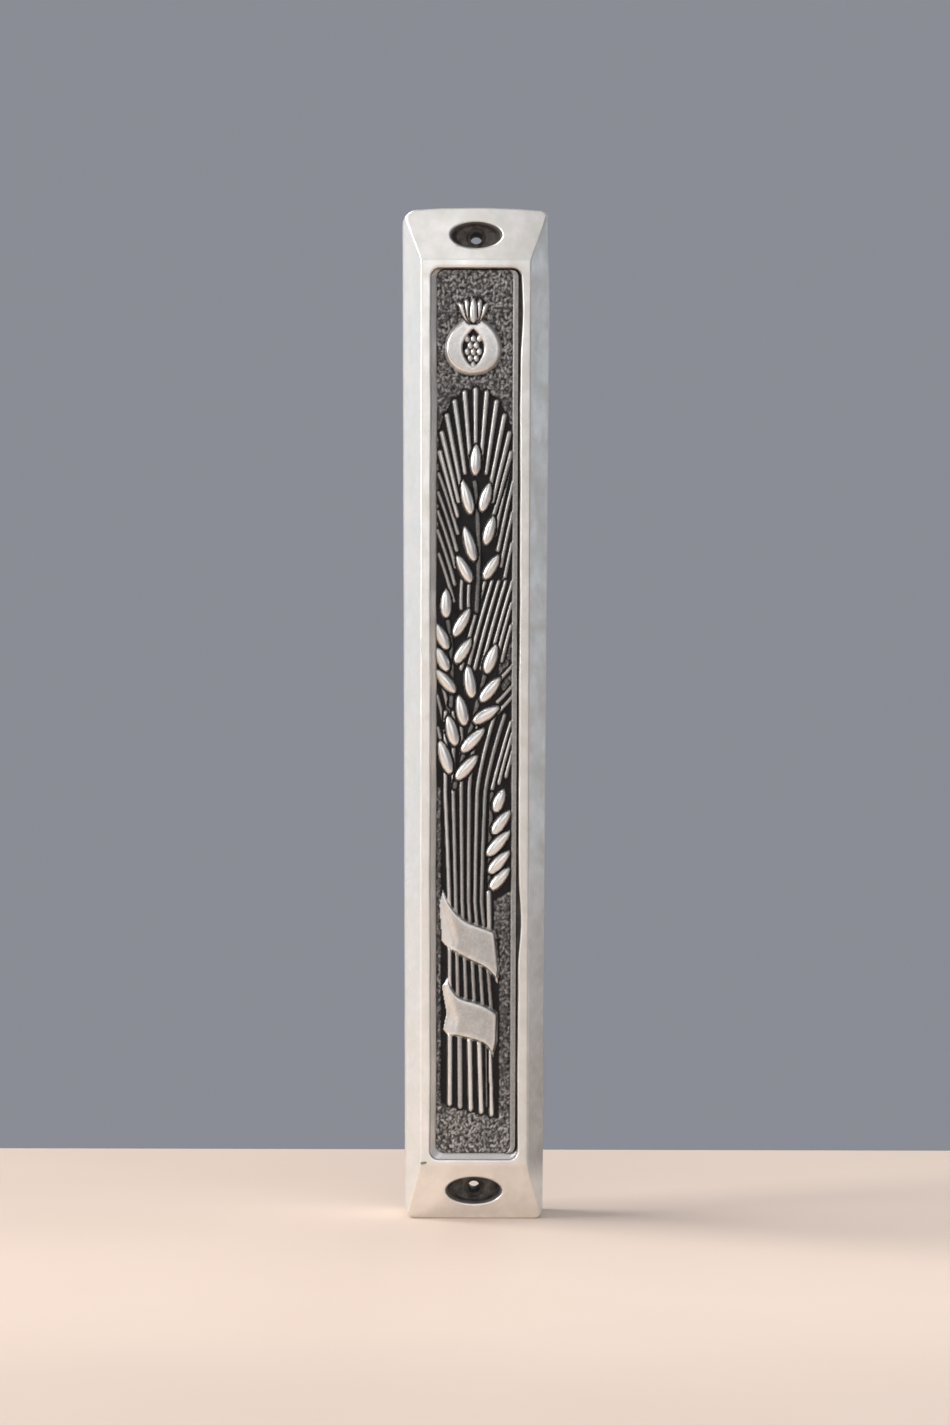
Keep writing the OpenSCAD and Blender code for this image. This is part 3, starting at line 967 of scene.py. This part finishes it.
def panel_polish_and_highlight(relief):
    """How brightly each point of the relief is worn: least in hollows, most on what stands proud, with
    the ribbons' painted highlight carried along.
    """
    prominence = relief.height - blurred(relief.height, 4)
    worn = relief.shine * smooth_step(0.03, 0.30, relief.height)
    worn *= 0.75 + 0.25 * smooth_step(-0.10, 0.10, prominence)
    return np.clip(worn + 0.5 * np.clip(prominence, -0.3, 0.2), 0, 1).reshape(-1)


def make_plaque():
    relief = plaque_relief()
    verts, faces = panel_mesh(relief)
    plaque = add_mesh("relief_panel", verts, faces, 60)
    polish_and_highlight = panel_polish_and_highlight(relief)
    dull_back = np.full(len(verts) - len(polish_and_highlight), 0.1)
    set_attribute(plaque, "polish_and_highlight", np.concatenate([polish_and_highlight, dull_back]))
    plaque.data.materials.append(plaque_metal())
    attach(plaque, "case")
    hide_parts("relief_plaque")


# ---------------------------------------------------------------- cover, scroll and sleeve

def grip_groove(z):
    """Cutter of one round-bottomed groove across the cover, fading out at both ends."""
    turn = np.radians(np.arange(0, 360, 20))
    rings = []
    for x in np.linspace(-4.5, 4.5, 19):
        radius = 0.5 * math.sqrt(max(1 - (x / 4.6) ** 2, 0.02)) ** 0.5
        y = COVER_HIGH[1] + 0.08 + 0.75 * radius * np.sin(turn)
        rings.append(np.stack([np.full_like(turn, x), y, z + 0.72 * radius * np.cos(turn)], 1))
    return add_mesh("groove_cutter", *loft(rings))


def make_cover():
    """The sliding strip: a dovetail section with soft edges and a ribbed thumb grip."""
    low, high = COVER_LOW, COVER_HIGH
    corner_r, end_r = 0.22, 0.3
    corners = [
        (-high[0], low[1]),
        (high[0], low[1]),
        (high[0] - COVER_TAPER, high[1]),
        (COVER_TAPER - high[0], high[1]),
    ]
    section = []
    for k, corner in enumerate(corners):
        before = np.array(corners[k - 1]) - corner
        after = np.array(corners[(k + 1) % 4]) - corner
        start = np.array(corner) + before / np.linalg.norm(before) * corner_r
        end = np.array(corner) + after / np.linalg.norm(after) * corner_r
        section.extend(curve(start, corner, end, 4))
    section = np.array(section)
    middle = np.array([0, (low[1] + high[1]) / 2])
    span = high[2] - low[2]
    insets = (end_r, 0.1, 0.0)
    stations = [(inset, low[2] + (end_r - inset) * 0.7) for inset in insets]
    stations += [(0.0, low[2] + span * share) for share in np.linspace(0.02, 0.98, 30)]
    stations += [(inset, high[2] - (end_r - inset) * 0.7) for inset in insets[::-1]]
    rings = []
    for inset, z in stations:
        scale = np.array([1 - inset / high[0], 1 - inset / COVER_T])
        flat = middle + (section - middle) * scale
        rings.append(np.stack([flat[:, 0], flat[:, 1], np.full(len(flat), z)], 1))
    cover = add_mesh("sliding_cover", *loft(rings))
    cut(cover, [grip_groove(high[2] - 4.8 - 1.2 * k) for k in range(7)], 35)
    cover.data.materials.append(cover_plastic())
    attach(cover, "cover")
    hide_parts("back_cover")


def make_scroll():
    """The parchment, one sheet rolled up, its turns slipped a little past each other."""
    sheet, pitch, turns = 0.28, 0.34, 5
    sleeve_room, end_room = 0.25, 0.25
    outer_r = SLEEVE_HIGH[0] - sleeve_room - sheet
    turn = np.linspace(0, turns, turns * 56 + 1)
    ripple = 0.012 * np.sin(turn * 19) + 0.01 * np.sin(turn * 7.1)
    inner_r = outer_r - (turns - turn) * pitch + ripple
    radii = np.concatenate([inner_r, (inner_r + sheet - 0.02)[::-1]])
    there_and_back = np.concatenate([turn, turn[::-1]])
    x = radii * np.cos(2 * np.pi * there_and_back)
    y = AXIS_Y + radii * np.sin(2 * np.pi * there_and_back)
    slip = 0.22 * np.sin(there_and_back * 1.3 + 0.4)
    span = SCROLL_HIGH[2] - SCROLL_LOW[2] - 2 * end_room
    levels = np.array([0, 0.001, 0.05, 0.25, 0.5, 0.75, 0.95, 0.999, 1])
    off_middle = np.abs(2 * levels - 1)
    rings = []
    for level, share in zip(levels, off_middle):
        z = SCROLL_LOW[2] + end_room + level * span
        rings.append(np.stack([x, y, z + slip * share], 1))
    scroll = add_mesh("rolled_parchment", *loft(rings), 50)
    set_attribute(scroll, "edge", np.repeat(off_middle > 0.99, len(radii)))
    scroll.data.materials.append(parchment())
    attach(scroll, "case")
    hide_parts("parchment_scroll")


def make_sleeve():
    """The clear sleeve: a thin tube with soft creases between its round ends."""
    turn = np.radians(np.arange(0, 360, 4))
    radius = SLEEVE_HIGH[0]
    span = SLEEVE_HIGH[2] - SLEEVE_LOW[2]

    def ring(level, wall_in):
        crease = 0.025 * (1 + np.sin(3 * turn + level * 9)) * np.sin(math.pi * level)
        r = radius - wall_in - crease
        z = np.full_like(turn, SLEEVE_LOW[2] + span * level)
        return np.stack([r * np.cos(turn), AXIS_Y + r * np.sin(turn), z], 1)

    wall = 0.13
    levels = np.linspace(0, 1, 25)
    rings = [ring(level, 0.0) for level in levels] + [ring(level, wall) for level in levels[::-1]]
    verts, faces = loft(rings, capped=False)

    # The last ring, inside at the bottom, joins the first one, outside it
    count = len(turn)
    last = (len(rings) - 1) * count
    faces += [(last + i, last + (i + 1) % count, (i + 1) % count, i) for i in range(count)]
    sleeve = add_mesh("clear_sleeve", verts, faces, 60)
    sleeve.data.materials.append(clear_film())
    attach(sleeve, "case")
    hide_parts("scroll_sleeve")


# ---------------------------------------------------------------- floor, light and camera

def make_floor():
    """A plain pale table top that ends a little behind the case."""
    left, right, near, far = -600, 600, -700, 88
    thickness = 20
    verts = [(left, near, 0), (right, near, 0), (right, far, 0), (left, far, 0)]
    verts += [(x, y, -thickness) for x, y, _ in verts]
    faces = [(0, 1, 2, 3), (7, 6, 5, 4), (0, 4, 5, 1), (1, 5, 6, 2), (2, 6, 7, 3), (3, 7, 4, 0)]
    floor = add_mesh("table_top", verts, faces, 30)
    graph = Graph("pale_table")
    tone = graph.blend(graph.noise(30, 3.0), colour(0.78, 0.63, 0.525), colour(0.82, 0.67, 0.565))
    floor.data.materials.append(graph.finish(Base_Color=tone, Roughness=0.6))


CASE_MIDDLE = (0, 0, CASE_H / 2 * MM)


def soft_box(name, place, size, power, tint, target=CASE_MIDDLE, spread=180):
    """A rectangular studio light, aimed at the middle of the case unless told otherwise."""
    light = bpy.data.lights.new(name, "AREA")
    light.shape = "RECTANGLE"
    light.size, light.size_y = size
    light.energy = power
    light.color = tint
    light.spread = math.radians(spread)
    obj = bpy.data.objects.new(name, light)
    obj.location = place
    aim = Vector(target) - Vector(place)
    obj.rotation_euler = aim.to_track_quat("-Z", "Y").to_euler()
    bpy.context.scene.collection.objects.link(obj)


def make_studio():
    """Soft light from all sides, strongest from the left and above, and a dim blue-grey wall."""
    soft_box("key_left", (-0.85, -0.35, 0.40), (0.3, 0.4), 4.5, (1.0, 0.985, 0.96))
    soft_box("left_wall", (-0.95, 0.42, 0.20), (0.5, 0.8), 0.24, (0.93, 0.97, 1.0), spread=100)
    soft_box("back_fill", (0.45, 1.10, 0.60), (0.8, 0.6), 1.8, (1.0, 0.98, 0.96))
    soft_box("front_fill", (0.0, -1.25, 0.45), (1.1, 0.7), 2.75, (1.0, 0.98, 0.95))
    soft_box("top_front", (0.05, -0.55, 0.95), (0.8, 0.5), 1.05, (1.0, 0.94, 0.88))
    soft_box("overhead", (-0.60, 0.12, 1.05), (0.5, 0.5), 7.6, (1.0, 0.97, 0.94))
    soft_box("right_fill", (0.95, 0.30, 0.2), (0.4, 0.8), 0.7, (0.84, 0.92, 1.0))
    by_foot = (0.0, -0.08, 0.0)
    soft_box("floor_wash", (0.0, -0.08, 0.03), (0.28, 0.10), 0.016, (1.0, 0.98, 0.97), by_foot)
    world = bpy.data.worlds.new("studio")
    bpy.context.scene.world = world
    world.use_nodes = True
    back = world.node_tree.nodes["Background"]
    back.inputs["Color"].default_value = (0.255, 0.265, 0.30, 1)
    back.inputs["Strength"].default_value = 1.0
    bpy.context.scene.view_settings.view_transform = "Standard"


# Degrees by which the camera is rolled, so that the case leans a little to the right
ROLL = -0.15


def make_camera():
    """Straight at the case's front, from its mid height, at the distance where the case takes up
    frame_share of the view's height."""
    frame_share = 0.7088
    lens, sensor = 100, 36
    distance = CASE_H / frame_share * lens / sensor
    camera = bpy.data.objects.new("camera", bpy.data.cameras.new("camera"))
    camera.data.lens = lens
    camera.data.sensor_width = sensor
    camera.location = (0, (FRONT_Y + BEVEL_DROP - distance) * MM, CASE_MIDDLE[2])
    camera.rotation_euler = (math.pi / 2, math.radians(ROLL), 0)
    bpy.context.scene.collection.objects.link(camera)
    bpy.context.scene.camera = camera


make_case()
make_plaque()
make_cover()
make_scroll()
make_sleeve()
make_floor()
make_studio()
make_camera()
